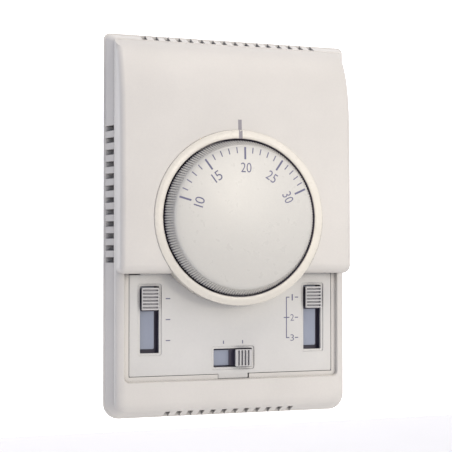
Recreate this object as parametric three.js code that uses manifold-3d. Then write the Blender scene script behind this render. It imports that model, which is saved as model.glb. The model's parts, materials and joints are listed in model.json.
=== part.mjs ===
// Wall thermostat for a fan-coil room unit: a vented rear base, a hooded front
// cover, a turning setpoint dial in a round bezel, and three slide switches on
// a recessed control panel, with the working parts inside.
//
// Millimetres. The parts are drawn in a front view: x to the right, y up and z
// out of the wall. The root group turns that view so that +Z is up, the wall
// is at y = 0 and the front faces -Y. The origin is the centre of the back.

import * as THREE from 'three';
import { mergeVertices } from 'three/addons/utils/BufferGeometryUtils.js';
import Module from 'manifold-3d';

const wasm = await Module();
wasm.setup();

// ---------------------------------------------------------------- dimensions

const BODY_WIDTH = 86.6;
const BODY_HEIGHT = 130;
const HALF_WIDTH = BODY_WIDTH / 2;
const HALF_HEIGHT = BODY_HEIGHT / 2;
const CORNER_BOTTOM = 5.3;
const CORNER_TOP = 2;
const GAP = 0.3;

// Rear base
const BASE_DEPTH = 5.8;
const FLOOR = 1.6;
const BASE_DRAFT = 2.6;
const BASE_WALL = 1.3;
const VENT_PITCH = 4;
const VENT_WIDTH = 1.8;
const VENT_START = 1.9;
const SIDE_VENTS = 12;
const SIDE_VENT_CENTRE = 10.5;
const TOP_VENTS = 16;
const BOTTOM_VENTS = 12;
const WALL_SCREW_X = 30;
const WALL_SCREW_Y = 24;
const WALL_SLOT_WIDTH = 4.4;
const WALL_SLOT_LENGTH = 8;
const CABLE_WINDOW = { x0: -19, x1: 7, y0: 37, y1: 51 };

// Front cover and its hood
const COVER_BACK = BASE_DEPTH + GAP;
const SHOULDER_DEPTH = 9.9;
const COVER_INSET = 2.7;
const COVER_WALL = 1.8;
const HOOD_HALF_WIDTH = 40.1;
const HOOD_BOTTOM = -16;
const HOOD_DEPTH = 17;
const HOOD_CROWN = [[61.9, 6.8], [58.46, 11.3], [49.95, 15.8], [35.93, 16.4]];

// Control panel
const PANEL_FRONT = 8.3;
const PANEL_BACK = 6.9;
const PANEL_HALF_WIDTH = 35.8;
const PANEL_BOTTOM = -50.2;
const PANEL_TOP = -14.4;
const PANEL_SLIT = 0.15;
const TONGUE_SLIT_RIGHT = 0.45;
const RECESS_LEDGE = 1.5;
const RECESS_DRAFT = 0.15;
const TONGUE_HALF_WIDTH = 5.2;
const PANEL_LEGS = [[-19, -25], [19, -25], [-19, -47], [19, -47]];
const PANEL_NOTCHES = [[-37, -32.1, -16.5], [31.7, 34, -16.2]];
const WINDOW_LEDGE = 0.8;
const LEDGE_DEPTH = 0.35;
const SWITCH_X = 28.9;
const SWITCH_WINDOW = { width: 6.4, y0: -42.6, y1: -20.3 };
const POWER_WINDOW = { x0: -6.75, x1: 6.75, y0: -48, y1: -41.7 };

// Slide switches. Reaches are from the cap's centre, at rest.
const CAP_WIDTH = 5.8;
const CAP_HEIGHT = 7.4;
const CAP_FRONT = 9.8;
const CAP_BACK = 8.95;
const CAP_REST_Y = -24.45;
const CAP_TRAVEL = 14;
const POWER_CAP_X = 3.4;
const POWER_CAP_Y = -44.85;
const POWER_TRAVEL = 6.8;
const CAP_RIB_PITCH = 1.14;
const CAP_GROOVE_WIDTH = 0.48;
const CAP_GROOVE_DEPTH = 0.45;
const CAP_GROOVE_END = 0.35;
const SWITCH_BODY = { width: 9, back: 4.5, front: 5.9, endWall: 1.2, overTravel: 11 };
const SWITCH_POCKET = { width: 6, floor: 5 };
const SLIDER_FOOT = { width: 5, length: 6, back: 5.15, front: 5.8 };
const SLIDER_STEM = { width: 2, length: 3 };
const SLIDER_HEAD = { margin: 0.2, front: CAP_BACK - GAP };
const SHUTTER_BACK = 6.1;
const SHUTTER_FRONT = 6.35;
const SHUTTER_HOLE = { width: 2.6, length: 3.6 };
const COLLAR_BACK = 6.45;
const COLLAR_FRONT = 6.7;
const UPRIGHT_SHUTTER = { x0: -3.15, x1: 1.85, y0: -16.95, y1: 17.95 };
const LEVEL_SHUTTER = { x0: -10.3, x1: 10.2, y0: -2.75, y1: 2.6 };
const UPRIGHT_COLLAR = { x0: -2.8, x1: 2.8, y0: -4.2, y1: 3.6 };
const LEVEL_COLLAR = { x0: -4.45, x1: 2.7, y0: -2.8, y1: 2.8 };

// Dial, bezel and shaft
const DIAL_Y = 2.55;
const BEZEL_OUTER = 29.2;
const BEZEL_INNER = 26.25;
const BEZEL_FRONT = 17.4;
const BEZEL_BACK = 8.6;
const WELL_FLOOR_FRONT = 12.4;
const WELL_FLOOR_BACK = 10.8;
const KNOB_FACE_RADIUS = 23.7;
const KNOB_WAIST = [25.45, 16.8];
const KNOB_SKIRT_RADIUS = 25.75;
const KNOB_FACE = 22.2;
const KNOB_CROWN = 22.9;
const KNOB_BACK = 13.4;
const KNOB_INSIDE = 20.6;
const HUB_RADIUS = 5.4;
const SHAFT_RADIUS = 2.2;
const SHAFT_FLAT = 1.5;
const DIAL_MIN_DEG = -74;
const DIAL_MAX_DEG = 66;
const STOP_RADIUS = 15;
const STOP_LUG_HALF_WIDTH = 1;
const LIMIT_PIN_RADIUS = 0.9;

// Mechanism
const BOARD = { x0: -36, x1: 36, y0: -56.5, y1: -17, corner: 1.5 };
const BOARD_BACK = 2.8;
const BOARD_FRONT = 4.2;
const FRAME_BACK = 4;
const FRAME_FRONT = 5;
const LEVER_BACK = 5.7;
const LEVER_FRONT = 7.1;
const CAM_BACK = 5.6;
const CAM_FRONT = 7.2;
const CAM_REST_RADIUS = 6.5;
const CAM_RISE_PER_RADIAN = 0.8;
const CAM_CLEARANCE = 0.35;
const CAM_LEVER_PIVOT = [-20, 12];
const SENSING_LEVER_PIVOT = [-20, 29.7];
const BELLOWS_X = 17;
const BELLOWS_Z = 9;
const SPRING_X = 10;
const SPRING_Z = 6.9;
const PLUNGER_X = 20;
const FRAME_SCREWS = [[-21.5, -7], [21.5, -7], [-21.5, 20.5], [25.2, 46]];
const BOARD_SCREWS = [[-33, -53], [33, -53], [-14, -22], [14, -22]];
const BEZEL_POST_DEG = [210, 330];

// ------------------------------------------------------------------- colours

const IVORY = 0xe4ddd2;
const CREAM = 0xece4d6;
const PANEL_GREY = 0xd8d5cf;
const PLATE_GREY = 0x8a90a0;
const STEEL = 0xb4b6b8;
const BRASS = 0xb89a55;
const COPPER = 0xb87a50;
const BLACK = 0x2b2b2e;
const BOARD_GREEN = 0x2f6b45;
const NATURAL = 0xe9e2d0;

// ------------------------------------------------------------------- helpers

const toRadians = THREE.MathUtils.degToRad;

function closed(geometry) {
  const bare = geometry.clone();
  bare.deleteAttribute('normal');
  bare.deleteAttribute('uv');
  const merged = mergeVertices(bare, 1e-4);
  const index = merged.index.array;
  const kept = [];
  for (let i = 0; i < index.length; i += 3) {
    const [a, b, c] = [index[i], index[i + 1], index[i + 2]];
    if (a !== b && b !== c && c !== a) kept.push(a, b, c);
  }
  if (signedVolume(merged.attributes.position, kept) < 0) kept.reverse();
  const vertProperties = new Float32Array(merged.attributes.position.array);
  return { vertProperties, triVerts: new Uint32Array(kept) };
}

function signedVolume(position, index) {
  const corners = [new THREE.Vector3(), new THREE.Vector3(), new THREE.Vector3()];
  let total = 0;
  for (let i = 0; i < index.length; i += 3) {
    corners.forEach((corner, k) => corner.fromBufferAttribute(position, index[i + k]));
    total += corners[0].dot(corners[1].cross(corners[2]));
  }
  return total;
}

function solid(shape) {
  if (shape instanceof wasm.Manifold) return shape;
  return new wasm.Manifold(new wasm.Mesh({ numProp: 3, ...closed(shape) }));
}

function join(first, ...others) {
  return others.reduce((body, other) => body.add(solid(other)), solid(first));
}

function cut(first, ...tools) {
  return tools.reduce((body, tool) => body.subtract(solid(tool)), solid(first));
}

function box(x0, x1, y0, y1, z0, z1) {
  const geometry = new THREE.BoxGeometry(x1 - x0, y1 - y0, z1 - z0);
  return geometry.translate((x0 + x1) / 2, (y0 + y1) / 2, (z0 + z1) / 2);
}

function plate(outline, z0, z1, curveSegments = 6) {
  const geometry = new THREE.ExtrudeGeometry(outline, { depth: z1 - z0, bevelEnabled: false, curveSegments });
  return geometry.translate(0, 0, z0);
}

function polygon(points) {
  return new THREE.Shape(points.map(([x, y]) => new THREE.Vector2(x, y)));
}

function roundedRectangle(x0, x1, y0, y1, radius) {
  const shape = new THREE.Shape();
  shape.absarc(x1 - radius, y1 - radius, radius, 0, Math.PI / 2);
  shape.absarc(x0 + radius, y1 - radius, radius, Math.PI / 2, Math.PI);
  shape.absarc(x0 + radius, y0 + radius, radius, Math.PI, 1.5 * Math.PI);
  shape.absarc(x1 - radius, y0 + radius, radius, 1.5 * Math.PI, 2 * Math.PI);
  return shape;
}

// A round bar along z.
function bar(x, y, radius, z0, z1, segments = 20) {
  const geometry = new THREE.CylinderGeometry(radius, radius, z1 - z0, segments);
  return geometry.rotateX(Math.PI / 2).translate(x, y, (z0 + z1) / 2);
}

// A profile of [radius, z] points turned about an axis along z.
function turned(profile, x, y, segments) {
  const points = profile.map(([radius, z]) => new THREE.Vector2(radius, z));
  const geometry = new THREE.LatheGeometry(points, segments);
  return geometry.rotateX(Math.PI / 2).translate(x, y, 0);
}

// The same profile idea with the axis along y, for parts that lie upright.
function turnedUpright(profile, x, z, segments) {
  const points = profile.map(([radius, y]) => new THREE.Vector2(radius, y));
  return new THREE.LatheGeometry(points, segments).translate(x, 0, z);
}

// Corner-rounded outline of a moulding, wider radius at the bottom corners.
function outline(halfWidth, top, bottom, topRadius, bottomRadius, steps = 5) {
  const corners = [
    [halfWidth - topRadius, top - topRadius, topRadius, 0],
    [-halfWidth + topRadius, top - topRadius, topRadius, 90],
    [-halfWidth + bottomRadius, bottom + bottomRadius, bottomRadius, 180],
    [halfWidth - bottomRadius, bottom + bottomRadius, bottomRadius, 270],
  ];
  return corners.flatMap(([x, y, radius, start]) =>
    Array.from({ length: steps + 1 }, (_, i) => {
      const angle = toRadians(start + (90 * i) / steps);
      return [x + radius * Math.cos(angle), y + radius * Math.sin(angle)];
    }),
  );
}

// A closed body through a stack of outlines, each given as { z, points }.
function stack(layers) {
  const count = layers[0].points.length;
  const vertices = layers.flatMap(({ z, points }) => points.map(([x, y]) => [x, y, z]));
  const faces = [];
  for (let layer = 0; layer < layers.length - 1; layer++) {
    for (let i = 0; i < count; i++) {
      const next = (i + 1) % count;
      const [a, b] = [layer * count + i, layer * count + next];
      faces.push([a, b, b + count], [a, b + count, a + count]);
    }
  }
  const last = (layers.length - 1) * count;
  for (let i = 1; i < count - 1; i++) {
    faces.push([0, i + 1, i], [last, last + i, last + i + 1]);
  }
  const geometry = new THREE.BufferGeometry();
  geometry.setAttribute('position', new THREE.Float32BufferAttribute(vertices.flat(), 3));
  geometry.setIndex(faces.flat());
  return geometry;
}

function bodyLayer(z, inset) {
  const topRadius = Math.max(CORNER_TOP - inset / 4, 0.6);
  const bottomRadius = Math.max(CORNER_BOTTOM - inset / 2, 0.8);
  const points = outline(HALF_WIDTH - inset, HALF_HEIGHT - inset, inset - HALF_HEIGHT, topRadius, bottomRadius);
  return { z, points };
}

function aroundDial(radius, degrees) {
  const angle = toRadians(degrees);
  return [radius * Math.cos(angle), DIAL_Y + radius * Math.sin(angle)];
}

// A D-section bar for the shaft and its socket.
function flattedBar(radius, flat, z0, z1, segments = 24) {
  const flatTool = box(flat, radius + 1, DIAL_Y - radius - 1, DIAL_Y + radius + 1, z0 - 1, z1 + 1);
  return cut(bar(0, DIAL_Y, radius, z0, z1, segments), flatTool);
}

const model = new THREE.Group();

function part(name, shape, color, roughness = 0.55, metalness = 0) {
  const mesh = solid(shape).getMesh();
  const geometry = new THREE.BufferGeometry();
  geometry.setAttribute('position', new THREE.Float32BufferAttribute(Array.from(mesh.vertProperties), 3));
  geometry.setIndex(Array.from(mesh.triVerts));
  geometry.computeVertexNormals();
  const material = new THREE.MeshStandardMaterial({ color, roughness, metalness, flatShading: true });
  const node = new THREE.Mesh(geometry, material);
  node.name = name;
  model.add(node);
}

// ----------------------------------------------------------------- rear base

function ventTools() {
  const reach = 6;
  const [inner, z1] = [HALF_WIDTH - BASE_DRAFT - BASE_WALL - 1, BASE_DEPTH + 1];
  const innerHeight = HALF_HEIGHT - BASE_DRAFT - BASE_WALL - 1;
  const tools = [];
  for (let i = 0; i < SIDE_VENTS; i++) {
    const y = SIDE_VENT_CENTRE + VENT_PITCH * (i - (SIDE_VENTS - 1) / 2);
    for (const side of [-1, 1]) {
      const [x0, x1] = [side * inner, side * (inner + reach)].sort((a, b) => a - b);
      tools.push(box(x0, x1, y - VENT_WIDTH / 2, y + VENT_WIDTH / 2, VENT_START, z1));
    }
  }
  for (const [count, y0] of [[TOP_VENTS, innerHeight], [BOTTOM_VENTS, -innerHeight - reach]]) {
    for (let i = 0; i < count; i++) {
      const x = VENT_PITCH * (i - (count - 1) / 2);
      tools.push(box(x - VENT_WIDTH / 2, x + VENT_WIDTH / 2, y0, y0 + reach, VENT_START, z1));
    }
  }
  return tools;
}

function rearBase() {
  const inside = BASE_DRAFT + BASE_WALL;
  const tray = stack([
    bodyLayer(0, 0.4),
    bodyLayer(0.4, 0),
    bodyLayer(1.3, 0),
    bodyLayer(FLOOR, 0.5),
    bodyLayer(BASE_DEPTH, BASE_DRAFT),
    bodyLayer(BASE_DEPTH, inside),
    bodyLayer(FLOOR, inside),
  ]);
  const bosses = [
    ...FRAME_SCREWS.map(([x, y]) => bar(x, y, 3, 1, FRAME_BACK - GAP)),
    ...BOARD_SCREWS.map(([x, y]) => bar(x, y, 2.6, 1, BOARD_BACK - GAP)),
  ];
  const screwHoles = [...FRAME_SCREWS, ...BOARD_SCREWS].map(([x, y]) => bar(x, y, 1.4, 0.8, FRAME_BACK, 12));
  const slotHalf = [WALL_SLOT_WIDTH / 2, WALL_SLOT_LENGTH / 2];
  const wallSlots = [-1, 1].map((side) => {
    const [halfX, halfY] = side < 0 ? slotHalf : [slotHalf[1], slotHalf[0]];
    const x = side * WALL_SCREW_X;
    const shape = roundedRectangle(
      x - halfX, x + halfX, WALL_SCREW_Y - halfY, WALL_SCREW_Y + halfY, WALL_SLOT_WIDTH / 2 - 0.01,
    );
    return plate(shape, -1, FLOOR + 1);
  });
  const { x0, x1, y0, y1 } = CABLE_WINDOW;
  const window = plate(roundedRectangle(x0, x1, y0, y1, 1.5), -1, FLOOR + 1, 3);
  return cut(join(tray, ...bosses), ...ventTools(), ...screwHoles, ...wallSlots, window);
}

part('rear_base', rearBase(), IVORY);

// --------------------------------------------------------------- front cover

function hoodStack(wall) {
  const crown = new THREE.CubicBezierCurve(
    ...HOOD_CROWN.map(([y, z]) => new THREE.Vector2(y - wall * 0.9, z - wall)),
  );
  const halfWidth = HOOD_HALF_WIDTH - wall;
  const bottom = HOOD_BOTTOM + wall;
  const front = HOOD_DEPTH - wall;
  const layer = (z, width, top, low) => ({ z, points: outline(width, top, low, 0.8, wall ? 0.8 : 2.4, 3) });
  const layers = [layer(COVER_BACK - (wall ? 1 : 0), halfWidth, crown.getPoint(0).x + 0.1, bottom)];
  for (let i = 1; i <= 9; i++) {
    const { x: top, y: z } = crown.getPoint(i / 10);
    layers.push(layer(z, halfWidth, top, bottom));
  }
  const edge = [[0.62, 0.5, 36, 0.6], [0.4, 1, 24, 1.2], [0.2, 1.6, 8, 2.2], [0, 2.6, -8, 3.6]];
  for (const [drop, inset, top, rise] of edge) {
    layers.push(layer(front - drop, halfWidth - inset, top, bottom + rise));
  }
  return stack(layers);
}

function panelOpening() {
  const half = PANEL_HALF_WIDTH + PANEL_SLIT;
  const low = PANEL_BOTTOM - PANEL_SLIT;
  const through = box(-half, half, low, PANEL_TOP + 0.4, BASE_DEPTH - 1, PANEL_FRONT + GAP);
  const wall = [[0, RECESS_LEDGE], [SHOULDER_DEPTH + 1 - PANEL_FRONT, RECESS_LEDGE + RECESS_DRAFT]];
  const recess = wall.map(([rise, out]) => ({
    z: PANEL_FRONT + rise,
    points: outline(half + out, HOOD_BOTTOM, low - out, 0.2, RECESS_LEDGE, 3),
  }));
  const [left, right] = [-TONGUE_HALF_WIDTH - PANEL_SLIT, TONGUE_HALF_WIDTH + TONGUE_SLIT_RIGHT];
  const tongueNotch = box(left, right, low - RECESS_LEDGE, low + 1, BASE_DEPTH, PANEL_FRONT + GAP);
  return [through, stack(recess), tongueNotch];
}

function frontCover() {
  const shoulder = stack([
    bodyLayer(COVER_BACK, COVER_INSET),
    bodyLayer(7.9, COVER_INSET + 0.1),
    bodyLayer(8.9, COVER_INSET + 0.6),
    bodyLayer(9.5, COVER_INSET + 1.6),
    bodyLayer(SHOULDER_DEPTH, COVER_INSET + 3.5),
  ]);
  const rimInset = COVER_INSET + 1.6;
  const shoulderRoom = stack([bodyLayer(BASE_DEPTH - 1, rimInset), bodyLayer(SHOULDER_DEPTH - 2.5, rimInset)]);
  const clipLegs = [-1, 1].flatMap((side) =>
    [-19, 19].map((x) => {
      const rim = HALF_HEIGHT - rimInset + 0.1;
      const [y0, y1] = [side * rim, side * (rim - 1.5)].sort((a, b) => a - b);
      return box(x - 3, x + 3, y0, y1, FLOOR + 1, 7.6);
    }),
  );
  const shell = cut(join(shoulder, hoodStack(0)), shoulderRoom, hoodStack(COVER_WALL));
  const dialHole = bar(0, DIAL_Y, BEZEL_OUTER + GAP, BASE_DEPTH - 1, HOOD_DEPTH + 1, 48);
  return cut(join(shell, ...clipLegs), ...panelOpening(), dialHole);
}

part('front_cover', frontCover(), IVORY);

// ------------------------------------------------------------- control panel

function controlPanel() {
  const sheet = plate(
    roundedRectangle(-PANEL_HALF_WIDTH, PANEL_HALF_WIDTH, PANEL_BOTTOM, PANEL_TOP, 0.4),
    PANEL_BACK, PANEL_FRONT, 2,
  );
  const tongueEnd = PANEL_BOTTOM - RECESS_LEDGE;
  const tongue = box(
    -TONGUE_HALF_WIDTH, TONGUE_HALF_WIDTH, tongueEnd, PANEL_BOTTOM + 0.5, PANEL_BACK, PANEL_FRONT,
  );
  const half = SWITCH_WINDOW.width / 2;
  const { y0: windowLow, y1: windowTop } = SWITCH_WINDOW;
  const windows = [-SWITCH_X, SWITCH_X].map((x) => [x - half, x + half, windowLow, windowTop]);
  windows.push([POWER_WINDOW.x0, POWER_WINDOW.x1, POWER_WINDOW.y0, POWER_WINDOW.y1]);
  const ledges = windows.map(([x0, x1, y0, y1]) => plate(
    roundedRectangle(x0 - WINDOW_LEDGE, x1 + WINDOW_LEDGE, y0 - WINDOW_LEDGE, y1 + WINDOW_LEDGE, WINDOW_LEDGE),
    PANEL_FRONT - LEDGE_DEPTH, PANEL_FRONT + 1, 3,
  ));
  const openings = windows.map(([x0, x1, y0, y1]) => box(x0, x1, y0, y1, PANEL_BACK - 1, PANEL_FRONT + 1));
  const legs = PANEL_LEGS.map(([x, y]) => bar(x, y, 1.5, BOARD_FRONT + 0.4, PANEL_BACK + 0.3, 12));
  const dialClear = bar(0, DIAL_Y, BEZEL_INNER + 1.3, PANEL_BACK - 1, PANEL_FRONT + 1, 48);
  const notches = PANEL_NOTCHES.map(([x0, x1, y]) =>
    box(x0, x1, y, PANEL_TOP + 1, PANEL_BACK - 1, PANEL_FRONT + 1));
  return cut(join(sheet, tongue, ...legs), ...ledges, ...openings, ...notches, dialClear);
}

part('control_panel', controlPanel(), PANEL_GREY);

// ------------------------------------------------------------ slide switches

// A rectangle round a centre, turned on its side for the power switch.
function centred(x, y, width, height, z0, z1, lengthwise) {
  const [w, h] = lengthwise ? [height, width] : [width, height];
  return box(x - w / 2, x + w / 2, y - h / 2, y + h / 2, z0, z1);
}

function reachBox([x, y], reach, z0, z1) {
  return box(x + reach.x0, x + reach.x1, y + reach.y0, y + reach.y1, z0, z1);
}

// One switch: a fixed body, and a slider of a foot, a stem, a collar and a head
// under a ribbed cap, with a grey shutter that fills the window as it travels.
function slideSwitch(name, middle, capPlace, capLength, travel, shutter, collar, lengthwise) {
  const [x, y] = capPlace;
  const inBody = (width, length, z0, z1) => centred(...middle, width, length, z0, z1, lengthwise);
  const atCap = (width, length, z0, z1) => centred(x, y, width, length, z0, z1, lengthwise);
  const { width, back, front, endWall, overTravel } = SWITCH_BODY;
  const bodyLength = travel + overTravel;
  const pocket = inBody(SWITCH_POCKET.width, bodyLength - 2 * endWall, SWITCH_POCKET.floor, front + 1);
  part(`${name}_switch_body`, cut(inBody(width, bodyLength, back, front), pocket), BLACK, 0.6);

  const leaf = reachBox(capPlace, shutter, SHUTTER_BACK, SHUTTER_FRONT);
  const stemHole = atCap(SHUTTER_HOLE.width, SHUTTER_HOLE.length, SHUTTER_BACK - 1, SHUTTER_FRONT + 1);
  part(`${name}_slider_shutter`, cut(leaf, stemHole), PLATE_GREY, 0.45, 0.1);

  const headSide = CAP_WIDTH - 2 * SLIDER_HEAD.margin;
  const actuator = join(
    atCap(SLIDER_FOOT.width, SLIDER_FOOT.length, SLIDER_FOOT.back, SLIDER_FOOT.front),
    atCap(SLIDER_STEM.width, SLIDER_STEM.length, SLIDER_FOOT.front - 0.2, SLIDER_HEAD.front),
    reachBox(capPlace, collar, COLLAR_BACK, COLLAR_FRONT),
    atCap(headSide, capLength - 2 * SLIDER_HEAD.margin, COLLAR_FRONT - 0.1, SLIDER_HEAD.front),
  );
  part(`${name}_slider_actuator`, actuator, BLACK, 0.5);

  const ribs = Math.round(capLength / CAP_RIB_PITCH);
  const grooves = Array.from({ length: ribs - 1 }, (_, i) => {
    const along = CAP_RIB_PITCH * (i - (ribs - 2) / 2);
    const [grooveX, grooveY] = lengthwise ? [x + along, y] : [x, y + along];
    const grooveLength = CAP_WIDTH - 2 * CAP_GROOVE_END;
    const z0 = CAP_FRONT - CAP_GROOVE_DEPTH;
    return centred(grooveX, grooveY, grooveLength, CAP_GROOVE_WIDTH, z0, CAP_FRONT + 1, lengthwise);
  });
  part(`${name}_slider_cap`, cut(atCap(CAP_WIDTH, capLength, CAP_BACK, CAP_FRONT), ...grooves), CREAM, 0.5);
}

const switchMiddle = (SWITCH_WINDOW.y0 + SWITCH_WINDOW.y1) / 2;
for (const [name, x] of [['mode', -SWITCH_X], ['fan', SWITCH_X]]) {
  const [middle, capPlace] = [[x, switchMiddle], [x, CAP_REST_Y]];
  slideSwitch(name, middle, capPlace, CAP_HEIGHT, CAP_TRAVEL, UPRIGHT_SHUTTER, UPRIGHT_COLLAR, false);
}
const powerPlace = [POWER_CAP_X, POWER_CAP_Y];
slideSwitch('power', [0, POWER_CAP_Y], powerPlace, CAP_WIDTH, POWER_TRAVEL, LEVEL_SHUTTER, LEVEL_COLLAR, true);

// ------------------------------------------------------- circuit board group

function screw(name, x, y, seat, length, headRadius = 2.2, shankRadius = 1.1, color = STEEL) {
  const head = seat + 1.3;
  const body = turned([
    [0, seat - length], [shankRadius, seat - length], [shankRadius, seat], [headRadius, seat],
    [headRadius, head - 0.4], [headRadius - 0.5, head], [0, head],
  ], x, y, 16);
  const slot = box(x - headRadius, x + headRadius, y - 0.3, y + 0.3, head - 0.6, head + 1);
  part(name, cut(body, slot), color, 0.35, 0.9);
}

const boardOutline = roundedRectangle(BOARD.x0, BOARD.x1, BOARD.y0, BOARD.y1, BOARD.corner);
const board = plate(boardOutline, BOARD_BACK, BOARD_FRONT, 3);
const boardHoles = BOARD_SCREWS.map(([x, y]) => bar(x, y, 1.5, BOARD_BACK - 1, BOARD_FRONT + 1, 12));
part('circuit_board', cut(board, ...boardHoles), BOARD_GREEN, 0.5);
BOARD_SCREWS.forEach(([x, y], i) => screw(`board_screw_${i + 1}`, x, y, BOARD_FRONT + 0.15, 3.1));

// ----------------------------------------------------------- terminal block

const TERMINALS = 6;
const TERMINAL_PITCH = 3.6;
const TERMINAL_BLOCK = { x0: -36.5, x1: -24.5, y0: 33, y1: 55, z0: FLOOR + GAP, z1: 7.9 };

function terminalPlace(i) {
  const { x0, x1, y0, y1 } = TERMINAL_BLOCK;
  return [(x0 + x1) / 2 - 1.5, (y0 + y1) / 2 + TERMINAL_PITCH * (i - (TERMINALS - 1) / 2)];
}

function terminalBlock() {
  const { x0, x1, y0, y1, z0, z1 } = TERMINAL_BLOCK;
  const holes = [];
  for (let i = 0; i < TERMINALS; i++) {
    const [x, y] = terminalPlace(i);
    holes.push(bar(x, y, 1.5, z0 + 1.6, z1 + 1, 12));
    holes.push(box(x + 1, x1 + 1, y - 1.1, y + 1.1, z0 + 1.6, z0 + 3.8));
  }
  return cut(box(x0, x1, y0, y1, z0, z1), ...holes);
}

part('terminal_block', terminalBlock(), NATURAL, 0.5);
for (let i = 0; i < TERMINALS; i++) {
  const [x, y] = terminalPlace(i);
  const top = TERMINAL_BLOCK.z1 - 0.6;
  const slot = box(x - 2, x + 2, y - 0.25, y + 0.25, top - 0.6, top + 1);
  const pin = cut(bar(x, y, 1.15, top - 3.2, top, 12), slot);
  part(`terminal_screw_${i + 1}`, pin, STEEL, 0.35, 0.9);
}

// ------------------------------------------------------------ mechanism frame

function mechanismFrame() {
  const sheet = plate(polygon([
    [-25, -11], [25, -11], [25, 33], [28.6, 33], [28.6, 49.5], [10.5, 49.5], [10.5, 33], [-25, 33],
  ]), FRAME_BACK, FRAME_FRONT);
  const ear = box(12, 21.8, 43, 44.2, FRAME_BACK, 12.4);
  const earHole = turnedUpright([[0, 42], [1.8, 42], [1.8, 45.2], [0, 45.2]], BELLOWS_X, BELLOWS_Z, 16);
  const screwHoles = FRAME_SCREWS.map(([x, y]) => bar(x, y, 1.6, FRAME_BACK - 1, FRAME_FRONT + 1, 12));
  const bushHole = bar(0, DIAL_Y, 3.9, FRAME_BACK - 1, FRAME_FRONT + 1, 24);
  const pinHoles = [CAM_LEVER_PIVOT, SENSING_LEVER_PIVOT].map(([x, y]) =>
    bar(x, y, 1.3, FRAME_BACK - 1, FRAME_FRONT + 1, 12));
  return cut(join(sheet, ear), earHole, ...screwHoles, bushHole, ...pinHoles);
}

part('mechanism_frame', mechanismFrame(), STEEL, 0.35, 0.9);
FRAME_SCREWS.forEach(([x, y], i) => screw(`frame_screw_${i + 1}`, x, y, FRAME_FRONT + 0.15, 3.9, 2.5));

BEZEL_POST_DEG.forEach((degrees, i) => {
  const [x, y] = aroundDial(STOP_RADIUS, degrees);
  const [z0, z1] = [FRAME_FRONT + GAP, WELL_FLOOR_BACK - GAP];
  const side = i === 0 ? 'left' : 'right';
  const post = cut(bar(x, y, 2.6, z0, z1, 6), bar(x, y, 1.4, z0 + 1, z1 + 1, 12));
  part(`bezel_post_${side}`, post, STEEL, 0.35, 0.9);
  screw(`bezel_screw_${side}`, x, y, WELL_FLOOR_FRONT + 0.15, 4.2, 2.2);
});

// ---------------------------------------------------------- bezel and limits

const stopOffset = THREE.MathUtils.radToDeg((STOP_LUG_HALF_WIDTH + LIMIT_PIN_RADIUS + GAP) / STOP_RADIUS);
const lugDegrees = 270;
const limitPinDegrees = [lugDegrees + DIAL_MIN_DEG - stopOffset, lugDegrees + DIAL_MAX_DEG + stopOffset];

function dialBezel() {
  const ring = turned([
    [5, WELL_FLOOR_BACK], [BEZEL_INNER, WELL_FLOOR_BACK], [BEZEL_INNER, BEZEL_BACK], [BEZEL_OUTER, BEZEL_BACK],
    [BEZEL_OUTER, BEZEL_FRONT - 0.6], [BEZEL_OUTER - 0.6, BEZEL_FRONT], [BEZEL_INNER + 0.7, BEZEL_FRONT],
    [BEZEL_INNER, BEZEL_FRONT - 0.7], [BEZEL_INNER, WELL_FLOOR_FRONT], [5, WELL_FLOOR_FRONT],
    [5, WELL_FLOOR_BACK],
  ], 0, DIAL_Y, 48);
  const throughFloor = (degrees, radius) =>
    bar(...aroundDial(STOP_RADIUS, degrees), radius, WELL_FLOOR_BACK - 1, WELL_FLOOR_FRONT + 1, 12);
  const holes = [
    ...BEZEL_POST_DEG.map((degrees) => throughFloor(degrees, 1.5)),
    ...limitPinDegrees.map((degrees) => throughFloor(degrees, LIMIT_PIN_RADIUS + GAP)),
  ];
  return cut(ring, ...holes);
}

part('dial_bezel', dialBezel(), CREAM, 0.45);
limitPinDegrees.forEach((degrees, i) => {
  const [x, y] = aroundDial(STOP_RADIUS, degrees);
  const side = i === 0 ? 'low' : 'high';
  part(`limit_pin_${side}`, bar(x, y, LIMIT_PIN_RADIUS, WELL_FLOOR_BACK, 16, 12), STEEL, 0.35, 0.9);
});

// ----------------------------------------------------------------- the dial

function dialKnob() {
  const shell = turned([
    [0, KNOB_CROWN], [8, KNOB_CROWN - 0.08], [15, KNOB_CROWN - 0.28], [20, KNOB_CROWN - 0.48],
    [KNOB_FACE_RADIUS - 0.6, KNOB_FACE + 0.05], [KNOB_FACE_RADIUS, KNOB_FACE - 0.4], KNOB_WAIST,
    [KNOB_SKIRT_RADIUS, KNOB_BACK], [KNOB_SKIRT_RADIUS - 1.8, KNOB_BACK], [22.2, KNOB_INSIDE],
    [HUB_RADIUS, KNOB_INSIDE], [HUB_RADIUS, KNOB_BACK + 0.2], [0, KNOB_BACK + 0.2],
  ], 0, DIAL_Y, 48);
  const lug = box(
    -STOP_LUG_HALF_WIDTH, STOP_LUG_HALF_WIDTH, DIAL_Y - STOP_RADIUS - 3, DIAL_Y - 4, 14.4, KNOB_INSIDE + 0.3,
  );
  const socket = flattedBar(SHAFT_RADIUS + GAP, SHAFT_FLAT + GAP, KNOB_BACK - 1, 19.6);
  return cut(join(shell, lug), socket);
}

function dialShaft() {
  const [end, groove, top] = [1.95, 2.7, 19.2];
  const body = turned([
    [0, end], [1.5, end], [1.5, groove], [SHAFT_RADIUS, groove], [SHAFT_RADIUS, top], [0, top],
  ], 0, DIAL_Y, 24);
  return cut(body, box(SHAFT_FLAT, 4, DIAL_Y - 4, DIAL_Y + 4, CAM_BACK - 0.1, top + 1));
}

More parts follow.
